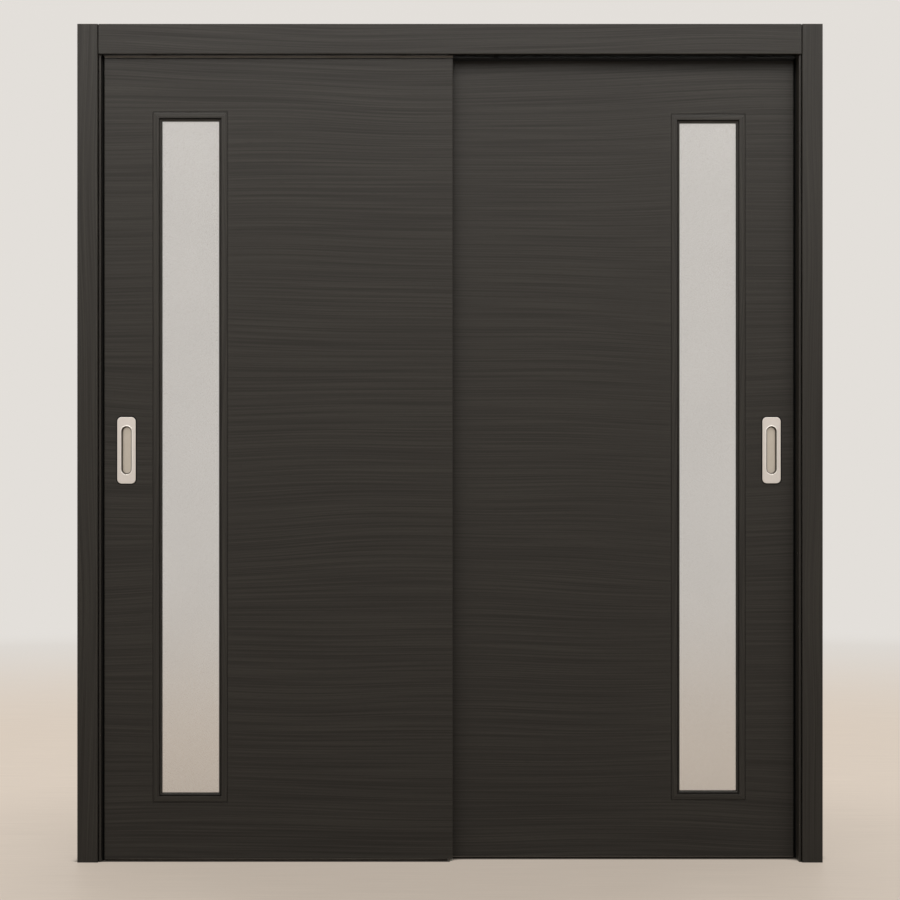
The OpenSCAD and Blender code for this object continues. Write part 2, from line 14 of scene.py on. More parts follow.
import bmesh
import bpy
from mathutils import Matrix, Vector

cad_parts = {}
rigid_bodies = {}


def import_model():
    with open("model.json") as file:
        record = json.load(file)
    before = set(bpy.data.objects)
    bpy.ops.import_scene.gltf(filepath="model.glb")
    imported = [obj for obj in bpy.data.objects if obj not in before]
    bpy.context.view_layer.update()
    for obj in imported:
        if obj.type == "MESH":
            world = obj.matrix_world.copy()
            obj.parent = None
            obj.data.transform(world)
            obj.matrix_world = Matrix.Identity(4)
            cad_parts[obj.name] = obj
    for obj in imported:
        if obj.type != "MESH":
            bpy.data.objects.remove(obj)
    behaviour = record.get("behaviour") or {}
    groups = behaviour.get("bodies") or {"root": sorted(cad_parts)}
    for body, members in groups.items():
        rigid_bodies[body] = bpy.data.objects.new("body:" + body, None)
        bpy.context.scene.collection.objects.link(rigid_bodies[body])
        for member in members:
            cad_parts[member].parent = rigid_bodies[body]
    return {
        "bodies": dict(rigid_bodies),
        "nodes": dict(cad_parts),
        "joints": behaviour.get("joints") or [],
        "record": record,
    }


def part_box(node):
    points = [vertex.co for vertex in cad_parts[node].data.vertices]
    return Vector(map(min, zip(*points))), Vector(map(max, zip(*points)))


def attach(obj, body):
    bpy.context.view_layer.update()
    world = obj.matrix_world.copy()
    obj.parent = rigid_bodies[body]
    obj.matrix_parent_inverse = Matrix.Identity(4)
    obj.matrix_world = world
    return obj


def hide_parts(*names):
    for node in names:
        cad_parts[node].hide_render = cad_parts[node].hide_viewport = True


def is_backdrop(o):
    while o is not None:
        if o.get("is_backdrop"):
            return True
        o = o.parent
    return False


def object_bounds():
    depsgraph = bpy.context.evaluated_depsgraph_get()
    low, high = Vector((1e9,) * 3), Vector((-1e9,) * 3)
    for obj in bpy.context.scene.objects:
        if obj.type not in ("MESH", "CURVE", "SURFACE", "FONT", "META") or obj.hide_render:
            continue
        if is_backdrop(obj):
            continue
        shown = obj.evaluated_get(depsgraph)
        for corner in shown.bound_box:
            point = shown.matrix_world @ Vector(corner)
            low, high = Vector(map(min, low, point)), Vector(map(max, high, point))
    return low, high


Pair = tuple[float, float]
Triple = tuple[float, float, float]
Colour = Triple
Ring = list[Vector]
Piece = bpy.types.Object
Material = bpy.types.Material
Socket = bpy.types.NodeSocket
Feed = Union[Socket, float]

MM = 0.001
MID_NOISE = (0.35, 0.65)
WIDE_NOISE = (0.3, 0.7)
RANGE_SOCKETS = ("From Min", "From Max", "To Min", "To Max")
SEAL_SECTION = ((0.0, 0.0), (0.0, 1.0), (0.6, 0.8), (1.0, 0.3), (1.0, 0.0))
SUNK_HEAD = ((1.0, -0.08), (0.96, 0.0))
ROUND_HEAD = ((1.0, 0.0), (1.0, 0.45), (0.9, 0.78), (0.72, 1.0))
BLACK: Colour = (0.0, 0.0, 0.0)
log = logging.getLogger("door_set")


def tone(*levels: float) -> Colour:
    """Turns display levels of red, green and blue, 0 to 255, into a linear colour."""
    shares = [level / 255 for level in levels]
    return tuple(s / 12.92 if s <= 0.04045 else ((s + 0.055) / 1.055) ** 2.4 for s in shares)


def dimmed(colour: Colour, share: float) -> Colour:
    """Returns a colour at a share of its level."""
    return tuple(level * share for level in colour)


class Axis(Enum):
    """A direction of the set, by its place in a vector."""

    X = 0
    Y = 1
    Z = 2


Place = dict[Axis, Socket]


class Plane(Enum):
    """The plane that a leaf runs in."""

    FRONT = "front"
    REAR = "rear"


class Facing(Enum):
    """The way that a face of a leaf looks along Y."""

    VIEWER = -1
    AWAY = 1


class Side(Enum):
    """The side of a leaf: away from the other leaf, or towards it."""

    OUTER = "outer"
    INNER = "inner"

    def facing(self, plane: Plane) -> Facing:
        """Says which way this side of a leaf in that plane looks."""
        return Facing.VIEWER if (plane is Plane.FRONT) == (self is Side.OUTER) else Facing.AWAY


@dataclass(frozen=True)
class Noise:
    """A noise: its grains to the metre along each axis, its finer layers and their strength."""

    per_metre: Triple
    detail: float
    rough: float


def even(per_metre: float, detail: float, rough: float) -> Noise:
    """Returns a noise with as many grains to the metre along every axis."""
    return Noise((per_metre,) * len(Axis), detail, rough)


class NodeSheet:
    """A node tree, with short calls for the nodes that it takes often."""

    def __init__(self, tree: bpy.types.NodeTree) -> None:
        """Keeps the tree's nodes and links."""
        self.nodes, self.links = tree.nodes, tree.links

    def first(self, kind: str) -> bpy.types.Node:
        """Returns the tree's first node of a kind."""
        return next(node for node in self.nodes if node.type == kind)

    def feed(self, target: Socket, value: Feed) -> None:
        """Joins a node's output to a socket, or sets the socket to a value.

        Args:
            target: The socket to feed.
            value: The output or the value.
        """
        if isinstance(value, Socket):
            self.links.new(value, target)
        else:
            target.default_value = value

    def sum(self, operation: str, first: Feed, second: Feed = 0.0) -> Socket:
        """Adds a Math node.

        Args:
            operation: The node's operation.
            first: Its first number or socket.
            second: Its second number or socket.

        Returns:
            The node's result.
        """
        node = self.nodes.new("ShaderNodeMath")
        node.operation = operation
        self.feed(node.inputs[0], first)
        self.feed(node.inputs[1], second)
        return node.outputs[0]

    def place(self, space: str = "Object") -> Place:
        """Reads a place, in metres on a piece.

        Args:
            space: The coordinates to read.

        Returns:
            One output for each axis.
        """
        coords = self.nodes.new("ShaderNodeTexCoord")
        split = self.nodes.new("ShaderNodeSeparateXYZ")
        self.links.new(coords.outputs[space], split.inputs[0])
        return {axis: split.outputs[axis.value] for axis in Axis}

    def span(
        self, value: Socket, low: float, high: float, start: float, end: float, soft: bool = False
    ) -> Socket:
        """Maps a number from one range to another, held at its ends.

        Args:
            value: The number to map.
            low: Value at which the result is start.
            high: Value at which the result is end.
            start: Result at low.
            end: Result at high.
            soft: Whether the result eases in and out.

        Returns:
            The mapped number.
        """
        node = self.nodes.new("ShaderNodeMapRange")
        node.interpolation_type = "SMOOTHSTEP" if soft else "LINEAR"
        self.links.new(value, node.inputs["Value"])
        for name, number in zip(RANGE_SOCKETS, (low, high, start, end)):
            node.inputs[name].default_value = number
        return node.outputs[0]

    def shade(self, share: Feed, first: Union[Socket, Colour], second: Union[Socket, Colour]) -> Socket:
        """Mixes two colours.

        Args:
            share: Share of the second colour.
            first: The first colour.
            second: The second colour.

        Returns:
            The mixed colour.
        """
        node = self.nodes.new("ShaderNodeMix")
        node.data_type = "RGBA"
        self.feed(node.inputs["Factor"], share)
        sockets = [s for s in node.inputs if s.type == "RGBA"]
        for socket, colour in zip(sockets, (first, second)):
            self.feed(socket, (*colour, 1.0) if isinstance(colour, tuple) else colour)
        return next(s for s in node.outputs if s.type == "RGBA")

    def seen(self) -> Socket:
        """Marks the rays of a direct look, and of one by a mirror or through glass, with 1."""
        rays = self.nodes.new("ShaderNodeLightPath").outputs
        mirrored = self.sum("MAXIMUM", rays["Is Camera Ray"], rays["Is Glossy Ray"])
        return self.sum("MAXIMUM", mirrored, rays["Is Transmission Ray"])


class ShaderSheet(NodeSheet):
    """One material's nodes round a Principled shader."""

    def __init__(self, name: str) -> None:
        """Makes an empty material.

        Args:
            name: The material's name.
        """
        self.material = bpy.data.materials.new(name)
        self.material.use_nodes = True
        super().__init__(self.material.node_tree)
        self.shader = self.first("BSDF_PRINCIPLED")

    def level(self, **values: float) -> None:
        """Sets shader sockets, named with underscores for spaces, to one level all over."""
        for name, value in values.items():
            self.shader.inputs[name.replace("_", " ")].default_value = value

    def drive(self, name: str, source: Socket) -> None:
        """Feeds one shader socket from a node's output."""
        self.links.new(source, self.shader.inputs[name])

    def noise(self, scales: Iterable[tuple[Socket, float]], detail: float, rough: float) -> Socket:
        """Adds a noise.

        Args:
            scales: The place along each axis of the noise, and its grains to the metre.
            detail: How many finer layers the noise has.
            rough: How strong the finer layers are.

        Returns:
            The noise, about 0.5 in the middle.
        """
        vector = self.nodes.new("ShaderNodeCombineXYZ")
        for socket, pair in zip(vector.inputs, scales):
            self.links.new(self.sum("MULTIPLY", *pair), socket)
        node = self.nodes.new("ShaderNodeTexNoise")
        for name, value in (("Scale", 1.0), ("Detail", detail), ("Roughness", rough)):
            node.inputs[name].default_value = value
        self.links.new(vector.outputs[0], node.inputs["Vector"])
        return node.outputs[0]

    def grains(self, noise: Noise) -> Socket:
        """Adds a noise that reads the place on the piece."""
        return self.noise(zip(self.place().values(), noise.per_metre), noise.detail, noise.rough)

    def tint(self, noise: Socket, dark: Colour, light: Colour) -> Socket:
        """Blends two colours by a noise."""
        return self.shade(self.span(noise, *MID_NOISE, 0.0, 1.0), dark, light)

    def swung(self, noise: Socket, middle: float, swing: float) -> Socket:
        """Swings a level round its middle by a noise."""
        return self.span(noise, *WIDE_NOISE, middle - swing, middle + swing)

    def made(
        self, colour: Socket, rough: Socket, height: Socket,
        depth: float, strength: float, **levels: float,
    ) -> Material:
        """Joins up the surface.

        Args:
            colour: Its colour.
            rough: Its roughness.
            height: Its relief, 0 to 1.
            depth: Depth of the full relief, in metres.
            strength: Share of the relief that shows.
            levels: Levels that are the same all over, as for level().

        Returns:
            The material.
        """
        bump = self.nodes.new("ShaderNodeBump")
        bump.inputs["Strength"].default_value = strength
        bump.inputs["Distance"].default_value = depth
        self.links.new(height, bump.inputs["Height"])
        for name, source in (("Base Color", colour), ("Roughness", rough), ("Normal", bump.outputs[0])):
            self.drive(name, source)
        self.level(**levels)
        return self.material


@dataclass(frozen=True)
class CutFace:
    """A sawn face of a board, beyond a place along one axis, that shows its core."""

    axis: Axis
    at: float
    outwards: int = 1
    tolerance: float = 0.2 * MM

    def mask(self, sheet: ShaderSheet, place: Place) -> Socket:
        """Marks the points on this face with 1."""
        signed = sheet.sum("MULTIPLY", place[self.axis], float(self.outwards))
        return sheet.sum("GREATER_THAN", signed, self.outwards * self.at - self.tolerance)


@dataclass(frozen=True)
class GrainLayer:
    """A layer of wood grain: its grains to the metre each way, its fineness and its share."""

    along: float
    across: float
    detail: float
    rough: float
    share: float = 1.0


@dataclass(frozen=True)
class WoodLaminate:
    """A charcoal-brown wood-grain laminate on a fibreboard core.

    The lines of the grain run along one axis and wander a little across it in long
    arches, with fine pores between them.
    """

    name: str
    along: Axis
    cut_faces: tuple[CutFace, ...] = ()
    dark: Colour = tone(40, 37, 33)
    middle: Colour = tone(47, 44, 40)
    light: Colour = tone(54, 51, 46)
    core: Colour = tone(134, 108, 82)
    core_dark: Colour = tone(108, 84, 62)
    sway: GrainLayer = GrainLayer(1.0, 1.9, 1.0, 0.4)
    bands: GrainLayer = GrainLayer(0.9, 24.0, 2.0, 0.5, 0.05)
    streaks: GrainLayer = GrainLayer(1.5, 210.0, 2.0, 0.6, 0.24)
    lines: GrainLayer = GrainLayer(2.2, 310.0, 1.0, 0.5, 0.71)
    pores: GrainLayer = GrainLayer(40.0, 520.0, 1.0, 0.5)
    sway_reach: Pair = (0.25, 0.75)
    dark_reach: Pair = (0.36, 0.5)
    light_reach: Pair = (0.5, 0.64)
    pore_reach: Pair = (0.58, 0.74)
    pore_shade: float = 0.45
    pore_sink: float = 0.5
    arch_height: float = 26 * MM
    grain_depth: float = 0.12 * MM
    grain_relief: float = 0.5
    rough: Pair = (0.5, 0.42)
    core_rough: float = 0.85
    fibres: Noise = even(420.0, 5.0, 0.7)
    gloss: float = 0.17

    def grain(self, sheet: ShaderSheet, place: Place) -> tuple[Socket, Socket]:
        """Draws the grain.

        Args:
            sheet: The sheet that takes the nodes.
            place: The place on the piece by axis.

        Returns:
            The streaks with their fine lines, and the pores, each 0 to 1.
        """
        across = Axis.Z if self.along is Axis.X else Axis.X
        run, rise, deep = place[self.along], place[across], place[Axis.Y]

        def drawn(layer: GrainLayer, height: Socket) -> Socket:
            """Draws the noise of one layer."""
            scales = ((run, layer.along), (deep, layer.across), (height, layer.across))
            return sheet.noise(scales, layer.detail, layer.rough)

        arch = sheet.span(drawn(self.sway, rise), *self.sway_reach, -self.arch_height, self.arch_height)
        bent = sheet.sum("ADD", rise, arch)
        bands, streaks, lines = (
            sheet.sum("MULTIPLY", drawn(layer, bent), layer.share)
            for layer in (self.bands, self.streaks, self.lines)
        )
        pores = sheet.span(drawn(self.pores, bent), *self.pore_reach, 0.0, 1.0)
        return sheet.sum("ADD", bands, sheet.sum("ADD", streaks, lines)), pores

    def make(self) -> Material:
        """Builds the material."""
        sheet = ShaderSheet(self.name)
        place = sheet.place()
        body, pores = self.grain(sheet, place)
        lower = sheet.shade(sheet.span(body, *self.dark_reach, 0.0, 1.0), self.dark, self.middle)
        colour = sheet.shade(sheet.span(body, *self.light_reach, 0.0, 1.0), lower, self.light)
        colour = sheet.shade(sheet.sum("MULTIPLY", pores, self.pore_shade), colour, self.dark)
        rough = sheet.span(body, *MID_NOISE, *self.rough)
        for face in self.cut_faces:
            mask = face.mask(sheet, place)
            sawn = sheet.tint(sheet.grains(self.fibres), self.core_dark, self.core)
            colour = sheet.shade(mask, colour, sawn)
            rough = sheet.sum("MAXIMUM", rough, sheet.sum("MULTIPLY", mask, self.core_rough))
        height = sheet.sum("SUBTRACT", body, sheet.sum("MULTIPLY", pores, self.pore_sink))
        return sheet.made(
            colour, rough, height, self.grain_depth, self.grain_relief, Specular_IOR_Level=self.gloss
        )


@dataclass(frozen=True)
class BrushedMetal:
    """A metal with fine lines drawn along one axis."""

    name: str
    lines_along: Axis
    colour: Colour
    shade: Colour
    roughness: float
    rough_swing: float = 0.06
    lines_per_metre: float = 2600.0
    line_stretch: float = 60.0
    line_depth: float = 0.02 * MM
    line_relief: float = 0.5
    line_detail: float = 3.0
    line_rough: float = 0.7
    line_share: float = 0.65
    clouds: Noise = even(38.0, 3.0, 0.5)

    def make(self) -> Material:
        """Builds the material."""
        sheet = ShaderSheet(self.name)
        fine, long = self.lines_per_metre, self.lines_per_metre / self.line_stretch
        per_metre = tuple(long if axis is self.lines_along else fine for axis in Axis)
        lines = sheet.grains(Noise(per_metre, self.line_detail, self.line_rough))
        shares = ((lines, self.line_share), (sheet.grains(self.clouds), 1 - self.line_share))
        blend = sheet.sum("ADD", *(sheet.sum("MULTIPLY", *pair) for pair in shares))
        colour = sheet.tint(blend, self.shade, self.colour)
        rough = sheet.swung(blend, self.roughness, -self.rough_swing)
        return sheet.made(colour, rough, lines, self.line_depth, self.line_relief, Metallic=1.0)


@dataclass(frozen=True)
class PlatedSteel:
    """Zinc-plated steel with faint clouds in the plating."""

    name: str
    colour: Colour = tone(168, 171, 174)
    shade: Colour = tone(138, 141, 146)
    roughness: float = 0.36
    dull_rise: float = 0.08
    bright_fall: float = 0.06
    clouds: Noise = even(160.0, 4.0, 0.6)
    grit: Noise = even(3200.0, 2.0, 0.6)
    grit_depth: float = 0.01 * MM
    grit_relief: float = 0.4

    def make(self) -> Material:
        """Builds the material."""
        sheet = ShaderSheet(self.name)
        clouds = sheet.grains(self.clouds)
        colour = sheet.tint(clouds, self.shade, self.colour)
        dull, bright = self.roughness + self.dull_rise, self.roughness - self.bright_fall
        rough = sheet.span(clouds, *WIDE_NOISE, dull, bright)
        grit = sheet.grains(self.grit)
        return sheet.made(colour, rough, grit, self.grit_depth, self.grit_relief, Metallic=1.0)


@dataclass(frozen=True)
class FrostedGlass:
    """Glass etched to a soft milky white."""

    name: str
    tint: Colour = (0.715, 0.705, 0.693)
    cloud_shade: float = 0.97
    clouds: Noise = even(6.0, 2.0, 0.5)
    roughness: float = 0.28
    rough_swing: float = 0.06
    etch: Noise = even(1700.0, 2.0, 0.6)
    etch_depth: float = 0.01 * MM
    etch_relief: float = 0.3
    ior: float = 1.45

    def make(self) -> Material:
        """Builds the material."""
        sheet = ShaderSheet(self.name)
        etch = sheet.grains(self.etch)
        rough = sheet.swung(etch, self.roughness, self.rough_swing)
        cloud = sheet.span(sheet.grains(self.clouds), *WIDE_NOISE, 0.0, 1.0)
        colour = sheet.shade(cloud, dimmed(self.tint, self.cloud_shade), self.tint)
        sheet.level(Transmission_Weight=1.0, IOR=self.ior)
        return sheet.made(colour, rough, etch, self.etch_depth, self.etch_relief)


@dataclass(frozen=True)
class Moulded:
    """A moulded plastic or rubber with faint flow clouds and a fine grit."""

    name: str
    colour: Colour
    shade: Colour
    roughness: float
    translucence: float = 0.0
    translucent_depth: float = 1.0 * MM
    gloss: float = 0.4
    rough_swing: float = 0.05
    flow: Noise = Noise((90.0, 90.0, 22.0), 3.0, 0.5)
    grit: Noise = even(2400.0, 2.0, 0.5)
    grit_depth: float = 0.015 * MM
    grit_relief: float = 0.5

    def make(self) -> Material:
        """Builds the material."""
        sheet = ShaderSheet(self.name)
        grit = sheet.grains(self.grit)
        colour = sheet.tint(sheet.grains(self.flow), self.shade, self.colour)
        rough = sheet.swung(grit, self.roughness, self.rough_swing)
        sheet.level(Subsurface_Weight=self.translucence, Subsurface_Scale=self.translucent_depth)
        sheet.level(Specular_IOR_Level=self.gloss)
        return sheet.made(colour, rough, grit, self.grit_depth, self.grit_relief)


@dataclass(frozen=True)
class RailWithPaintedLight:
    """A rail with painted light and shade: above a level its cap's outer face is a paler satin grey, as
    if lit, and the rest is near-black, as if in shade.
    """

    name: str
    cap_foot_z: float
    cap_face_y: float
    # The cap's paler grey is painted light; the body's near-black is painted shade.
    cap: Colour = tone(146, 141, 134)
    cap_shade: float = 0.86
    body: Colour = tone(14, 13, 12)
    rough: Pair = (0.56, 0.46)
    lines: Noise = Noise((12.0, 700.0, 700.0), 3.0, 0.6)
    line_depth: float = 0.02 * MM
    line_relief: float = 0.4
    gloss: float = 0.25

    def make(self) -> Material:
        """Builds the material."""
        sheet = ShaderSheet(self.name)
        place = sheet.place()
        # Only the cap's outer face, above a level, takes the paler painted light.
        high = sheet.sum("GREATER_THAN", place[Axis.Z], self.cap_foot_z)
        outer = sheet.sum("GREATER_THAN", sheet.sum("ABSOLUTE", place[Axis.Y]), self.cap_face_y)
        lines = sheet.grains(self.lines)
        cap = sheet.tint(lines, dimmed(self.cap, self.cap_shade), self.cap)
        colour = sheet.shade(sheet.sum("MULTIPLY", high, outer), self.body, cap)
        rough = sheet.span(lines, *WIDE_NOISE, *self.rough)
        return sheet.made(
            colour, rough, lines, self.line_depth, self.line_relief, Specular_IOR_Level=self.gloss
        )


Finish = Union[WoodLaminate, BrushedMetal, PlatedSteel, FrostedGlass, Moulded, RailWithPaintedLight]


def skin(
    mesh: bmesh.types.BMesh, rings: Sequence[Ring], bands: Sequence[int] = (0,), loop: bool = False
) -> None:
    """Skins a row of rings of equal count and closes it.

    Args:
        mesh: The mesh that takes the skin.
        rings: The rings in order, each with its points in order.
        bands: Material slot of the skin that follows each ring; the last goes on to the end.
        loop: Whether the last ring joins the first, in place of a cap on each.
    """
    rows = [[mesh.verts.new(point) for point in ring] for ring in rings]
    for band, (near, far) in enumerate(zip(rows, rows[1:] + rows[:loop])):
        for i, corner in enumerate(near):
            after = (i + 1) % len(near)
            face = mesh.faces.new((corner, near[after], far[after], far[i]))
            face.material_index = bands[min(band, len(bands) - 1)]
    if not loop:
        mesh.faces.new(rows[0][::-1]).material_index = bands[0]
        mesh.faces.new(rows[-1]).material_index = bands[-1]


def finished(mesh: bmesh.types.BMesh, name: str, sharp_deg: float = 32.0) -> Piece:
    """Turns a mesh in the making into a smooth-shaded piece.

    Args:
        mesh: The mesh, which is freed.
        name: Name of the new piece.
        sharp_deg: Angle over which an edge stays crisp.

    Returns:
        The new piece, linked to the scene.
    """
    bmesh.ops.recalc_face_normals(mesh, faces=mesh.faces)
    data = bpy.data.meshes.new(name)
    mesh.to_mesh(data)
    mesh.free()
    data.shade_smooth()
    data.set_sharp_from_angle(angle=math.radians(sharp_deg))
    piece = bpy.data.objects.new(name, data)
    bpy.context.scene.collection.objects.link(piece)
    return piece


@dataclass(frozen=True)
class EasedEdges:
    """The small radius that a maker leaves on the sawn or pressed edges of a piece."""

    radius: float
    steps: int = 2
    crease_deg: float = 40.0
    flat_deg: float = 0.2
    weld_gap: float = 0.002 * MM

    def ease(self, piece: Piece) -> None:
        """Rounds the piece's sharp edges, inside its own outline.

        Args:
            piece: The piece to ease; its own mesh stays as it is.
        """
        weld = piece.modifiers.new("weld", "WELD")
        weld.merge_threshold = self.weld_gap
        flat = piece.modifiers.new("flat_faces", "DECIMATE")
        flat.decimate_type, flat.angle_limit = "DISSOLVE", math.radians(self.flat_deg)
        bevel = piece.modifiers.new("eased_edges", "BEVEL")
        bevel.width, bevel.segments = self.radius, self.steps
        bevel.limit_method, bevel.angle_limit = "ANGLE", math.radians(self.crease_deg)
        bevel.use_clamp_overlap = False
        bevel.miter_outer = "MITER_ARC"
        normals = piece.modifiers.new("even_shading", "WEIGHTED_NORMAL")
        normals.keep_sharp = True


class Dresser:
    """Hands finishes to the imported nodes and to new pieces."""

    def __init__(self, frame: dict) -> None:
        self.nodes: dict[str, Piece] = frame["nodes"]
        self.finishes: dict[str, Material] = {}

    def coat(self, piece: Piece, *finishes: Finish) -> None:
        """Gives a piece its finishes, each made at its first use.

        Args:
            piece: The piece.
            finishes: One finish for each material slot.
        """
        if piece.data.materials:
            piece.data.materials.clear()
        for finish in finishes:
            if finish.name not in self.finishes:
                self.finishes[finish.name] = finish.make()
            piece.data.materials.append(self.finishes[finish.name])
        log.info("dressed %s in %s", piece.name, ", ".join(f.name for f in finishes))

    def node(self, name: str, finish: Finish, edges: Optional[EasedEdges] = None) -> None:
        """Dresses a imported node.

        Args:
            name: The node's name.
            finish: Its finish.
            edges: The radius of its edges, if they are eased.
        """
        piece = self.nodes[name]
        self.coat(piece, finish)
        if edges:
            edges.ease(piece)

    def stand_in(
        self, piece: Piece, body: str, slot: str, node: Optional[str], *finishes: Finish
    ) -> None:
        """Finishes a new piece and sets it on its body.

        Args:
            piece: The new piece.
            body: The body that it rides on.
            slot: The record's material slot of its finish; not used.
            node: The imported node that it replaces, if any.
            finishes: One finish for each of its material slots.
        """
        self.coat(piece, *finishes)
        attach(piece, body)
        if node:
            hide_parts(node)


@dataclass(frozen=True)
class RoundedOutline:
    """A rectangle with round corners, drawn as a ring of points."""

    width: float
    height: float
    corner: float
    corner_steps: int = 14

    def ring(self, inset: float, level: float) -> list[Triple]:
        """Draws the outline pulled in by an inset at a level.

        Args:
            inset: Distance inside the outline.
            level: Height of the ring over the face.

        Returns:
            Points as across, up and level.
        """
        radius = self.corner - inset
        reach = Vector((self.width / 2 - self.corner, self.height / 2 - self.corner))
        points = []
        for quarter, (side, top) in enumerate(((1, 1), (-1, 1), (-1, -1), (1, -1))):
            for step in range(self.corner_steps + 1):
                angle = math.radians(90 * (quarter + step / self.corner_steps))
                points.append((
                    side * reach.x + radius * math.cos(angle),
                    top * reach.y + radius * math.sin(angle),
                    level,
                ))
        return points


@dataclass
class FacePiece:
    """A piece on one face of a leaf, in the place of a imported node."""

    kind: ClassVar[str]
    dresser: Dresser
    finishes: "Finishes"
    plane: Plane
    side: Side

    @property
    def node(self) -> str:
        """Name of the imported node."""
        return f"{self.plane.value}_{self.side.value}_{self.kind}"

    def placed(self, points: Iterable[Triple], proud: float = 0.0) -> Ring:
        """Places points round the middle of the node.

        Args:
            points: Points as across, up and level over the leaf's face.
            proud: How far the node stands out from that face.

        Returns:
            The points in the set's frame.
        """
        low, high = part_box(self.node)
        middle = (low + high) / 2
        facing = self.side.facing(self.plane).value
        face_y = low.y + proud if facing < 0 else high.y - proud
        return [Vector((middle.x + x, face_y + facing * h, middle.z + z)) for x, z, h in points]

    @property
    def body(self) -> str:
        """Name of the leaf's body."""
        return f"{self.plane.value}_door"


class PullFace(Enum):
    """The finishes of a pull, by material slot: the rim's is a painted highlight, the ring's and the
    floor's are painted shade.
    """

    PLATE = 0
    RIM = 1
    RING = 2
    FLOOR = 3


PullRow = tuple[RoundedOutline, float, float, PullFace]


@dataclass
class FlushPull(FacePiece):
    """A flush pull: a plate ringed by a black band of painted shadow, a rim of painted highlight and a
    recess in painted shade.
    """

    kind: ClassVar[str] = "pull"
    plate: RoundedOutline = RoundedOutline(45 * MM, 162 * MM, 11 * MM)
    rim: RoundedOutline = RoundedOutline(30 * MM, 122 * MM, 15 * MM)
    cup: RoundedOutline = RoundedOutline(25 * MM, 117 * MM, 12.5 * MM)
    shell: RoundedOutline = RoundedOutline(27.4 * MM, 119.4 * MM, 13.7 * MM)
    # A thin black band round the plate that stands in for the plate's shadow: painted shadow.
    shadow_band: RoundedOutline = RoundedOutline(50.2 * MM, 167.2 * MM, 13.6 * MM)
    shadow_band_t: float = 0.4 * MM
    shadow_band_round: float = 0.4 * MM / 3
    shadow_band_lift: float = 0.02 * MM
    shadow_band_play: float = 0.05 * MM
    plate_t: float = 1.6 * MM
    edge_roll: float = 0.7 * MM
    rim_h: float = 0.6 * MM
    cup_depth: float = 11 * MM
    cup_wall: float = 1.2 * MM
    shell_round: float = 2.0 * MM
    ring_w: float = 1.6 * MM
    ring_d: float = 1.2 * MM
    cup_draft: float = 0.5 * MM
    cup_fillet: float = 0.4 * MM
    flat_margin: float = 0.15 * MM
    roll_steps: int = 5

    def section(self) -> list[PullRow]:
        """Draws the pull's section from the back of the recess to its floor.

        Returns:
            Rings as an outline, an inset, a level over the leaf's face and the finish that follows.
        """
        turns = [math.radians(90 * i / self.roll_steps) for i in range(2 * self.roll_steps + 1)]
        quarter = turns[:self.roll_steps + 1]

        def rolled(row: PullRow, inwards: float, up: float, angles: list[float]) -> list[PullRow]:
            """Rolls an edge on from a row, by a reach inwards and up."""
            outline, inset, level, face = row
            arc = [(inwards * (1 - math.cos(angle)), up * math.sin(angle)) for angle in angles]
            return [(outline, inset + across, level + rise, face) for across, rise in arc]

        top, roll, fillet = self.plate_t, self.edge_roll, self.cup_fillet
        back, floor = -self.cup_depth - self.cup_wall, -self.cup_depth
        wall = self.ring_w + self.cup_draft
        rim = (self.rim.width - self.cup.width) / 4, self.rim_h
        return [
            (self.shell, self.shell_round, back, PullFace.PLATE),
            (self.shell, 0.0, back + self.shell_round, PullFace.PLATE),
            (self.shell, 0.0, 0.0, PullFace.PLATE),
            (self.plate, 0.0, 0.0, PullFace.PLATE),
            *rolled((self.plate, 0.0, top - roll, PullFace.PLATE), roll, roll, quarter),
            (self.plate, roll + self.flat_margin, top, PullFace.PLATE),
            (self.rim, -self.flat_margin, top, PullFace.PLATE),
            # The rim's band takes a painted highlight; the ring chamfer, the walls and the recess floor
            # take painted shade.
            *rolled((self.rim, 0.0, top, PullFace.RIM), *rim, turns[:-1]),
            *rolled((self.rim, 0.0, top, PullFace.RING), *rim, turns[-1:]),
            (self.cup, self.ring_w, -self.ring_d, PullFace.RING),
            *rolled((self.cup, wall, floor + fillet, PullFace.RING), fillet, -fillet, quarter),
            (self.cup, wall + fillet + self.flat_margin, floor, PullFace.FLOOR),
        ]

    def lifted(self, outline: RoundedOutline, inset: float, level: float) -> Ring:
        """Places a ring of an outline on the leaf's face."""
        return self.placed(outline.ring(inset, level), self.plate_t + self.rim_h)

    def build(self) -> Piece:
        """Builds the pull where its node is."""
        rows = self.section()
        rings = [self.lifted(outline, inset, level) for outline, inset, level, _ in rows]
        mesh = bmesh.new()
        skin(mesh, rings, [face.value for *_, face in rows])
        return finished(mesh, f"{self.node}_pressed")

    def build_shadow_band(self) -> Piece:
        """Builds the thin black band that paints the plate's shadow on the leaf."""
        inner = (self.shadow_band.width - self.plate.width) / 2 - self.shadow_band_play
        foot, top, soft = self.shadow_band_lift, self.shadow_band_t, self.shadow_band_round
        rows = [(0.0, foot), (0.0, top - soft), (soft, top), (inner, top), (inner, foot)]
        mesh = bmesh.new()
        skin(mesh, [self.lifted(self.shadow_band, inset, level) for inset, level in rows], loop=True)
        return finished(mesh, f"{self.node}_gasket")

    def dress(self) -> None:
        """Builds the pull and the band of painted shadow round it, finishes them and sets them on their
        leaf.
        """
        stand_in, looks = self.dresser.stand_in, self.finishes
        # The rim, the ring and the recess floor take lighter and darker copies of the nickel: painted
        # highlight and painted shade.
        metals = looks.nickel, looks.rim_highlight, looks.shaded, looks.cup_floor_shade
        stand_in(self.build(), self.body, "satin_nickel", self.node, *metals)
        # The black band round the plate stands in for the plate's shadow.
        stand_in(self.build_shadow_band(), self.body, "black_rubber", None, looks.rubber)


